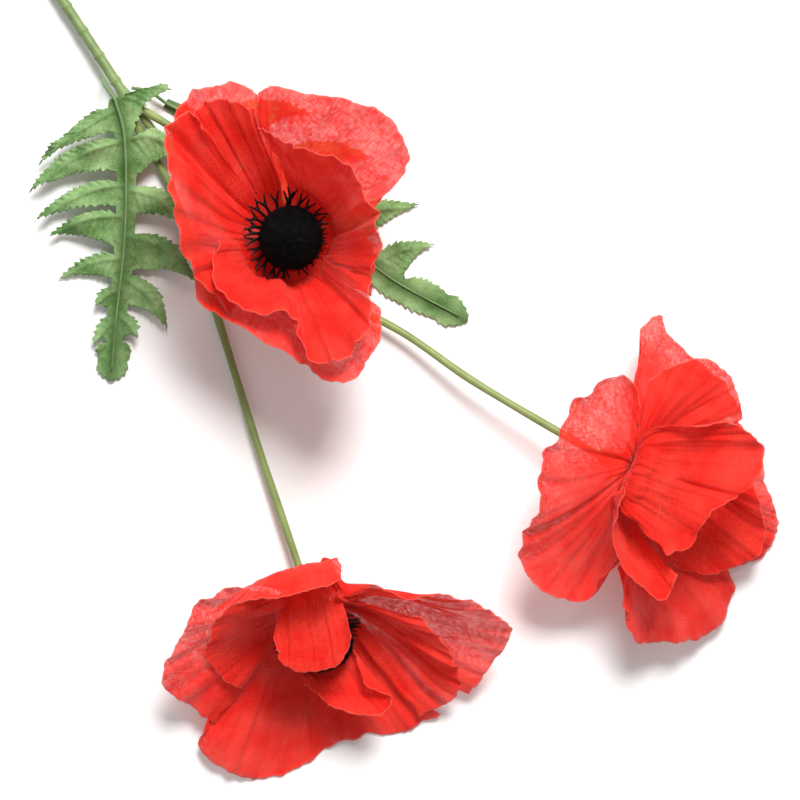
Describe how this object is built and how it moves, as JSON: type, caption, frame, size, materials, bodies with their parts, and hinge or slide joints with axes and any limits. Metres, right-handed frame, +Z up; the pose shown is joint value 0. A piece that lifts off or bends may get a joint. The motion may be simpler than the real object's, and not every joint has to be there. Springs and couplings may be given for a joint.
{
  "type": "artificial poppy spray",
  "caption": "Fabric poppy spray on a branching wired stem, with ruffled red blooms, black flocked centres and lobed leaves, laid flat.",
  "frame": {"origin": "middle of the bottom of the spray's bounding box, on the surface it lies on", "axes": "+Z up from that surface, +Y the long way of the spray towards the cut end of the main stem, +X towards the side bloom"},
  "size_m": [0.324, 0.3756, 0.0759],
  "materials": {
    "stem_plastic": "satin",
    "calyx_plastic": "matte",
    "leaf_fabric": "matte",
    "petal_fabric": "matte",
    "black_flock": "matte",
    "black_plastic": "matte"
  },
  "bodies": {
    "root": {"main_stem": "stem_plastic", "bloom_1_stem": "stem_plastic", "bloom_2_stem": "stem_plastic", "bloom_3_stem": "stem_plastic", "leaf_1_rib": "stem_plastic", "leaf_2_rib": "stem_plastic", "leaf_1_blade": "leaf_fabric", "leaf_2_blade": "leaf_fabric", "bloom_1_calyx": "calyx_plastic", "bloom_2_calyx": "calyx_plastic", "bloom_3_calyx": "calyx_plastic", "bloom_1_seed_head": "black_flock", "bloom_2_seed_head": "black_flock", "bloom_3_seed_head": "black_flock", "bloom_1_stamens": "black_plastic", "bloom_2_stamens": "black_plastic", "bloom_3_stamens": "black_plastic", "bloom_1_petal_inner_bottom": "petal_fabric", "bloom_1_petal_inner_right": "petal_fabric", "bloom_1_petal_inner_left": "petal_fabric", "bloom_1_petal_inner_top": "petal_fabric", "bloom_1_petal_outer_top_right": "petal_fabric", "bloom_1_petal_outer_top_left": "petal_fabric", "bloom_1_petal_outer_bottom": "petal_fabric", "bloom_1_petal_outer_right": "petal_fabric", "bloom_2_petal_inner_near": "petal_fabric", "bloom_2_petal_inner_bottom": "petal_fabric", "bloom_2_petal_inner_right": "petal_fabric", "bloom_2_petal_inner_left": "petal_fabric", "bloom_2_petal_outer_near": "petal_fabric", "bloom_2_petal_outer_right": "petal_fabric", "bloom_2_petal_outer_left": "petal_fabric", "bloom_2_petal_outer_bottom": "petal_fabric", "bloom_3_petal_inner_near": "petal_fabric", "bloom_3_petal_inner_low": "petal_fabric", "bloom_3_petal_inner_top": "petal_fabric", "bloom_3_petal_inner_far": "petal_fabric", "bloom_3_petal_outer_left": "petal_fabric", "bloom_3_petal_outer_low": "petal_fabric", "bloom_3_petal_outer_top": "petal_fabric", "bloom_3_petal_outer_far": "petal_fabric"}
  },
  "joints": []
}
